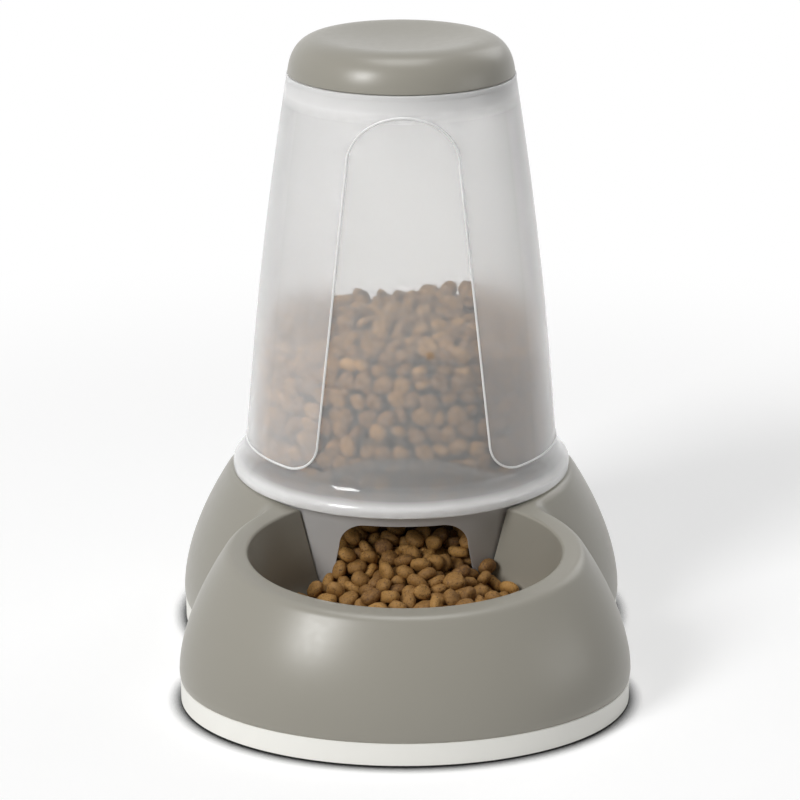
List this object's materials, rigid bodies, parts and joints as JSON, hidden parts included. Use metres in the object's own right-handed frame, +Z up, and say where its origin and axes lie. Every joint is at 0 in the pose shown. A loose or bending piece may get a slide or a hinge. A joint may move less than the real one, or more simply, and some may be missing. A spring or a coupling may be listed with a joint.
{
  "type": "gravity pet feeder",
  "caption": "Gravity-fed dry food feeder: a tapered see-through hopper with a lift-off lid stands on a two-lobed base and feeds the bowl in front through a funnel-shaped chute.",
  "frame": {"origin": "centre of the footprint, on the floor", "axes": "+Z up, the bowl towards -Y, +X to the feeder's left as it faces the animal"},
  "size_m": [0.226, 0.3116, 0.3049],
  "materials": {
    "lid_plastic": "satin moulded taupe polypropylene",
    "frosted_plastic": "milky translucent polypropylene, frosted, with a clearer polished window at the front",
    "chute_plastic": "milky translucent polypropylene",
    "base_plastic": "satin moulded taupe polypropylene",
    "soft_rubber": "matt off-white thermoplastic elastomer"
  },
  "bodies": {
    "base": {"base": "base_plastic", "non_slip_ring": "soft_rubber"},
    "hopper": {"hopper": "frosted_plastic", "feed_chute": "chute_plastic"},
    "lid": {"lid": "lid_plastic"}
  },
  "joints": [
    {"name": "hopper_lift", "type": "slide", "parent": "base", "child": "hopper", "axis": [0, 0, 1], "range_m": [0, 0.1]},
    {"name": "lid_lift", "type": "slide", "parent": "hopper", "child": "lid", "axis": [0, 0, 1], "range_m": [0, 0.04]}
  ]
}
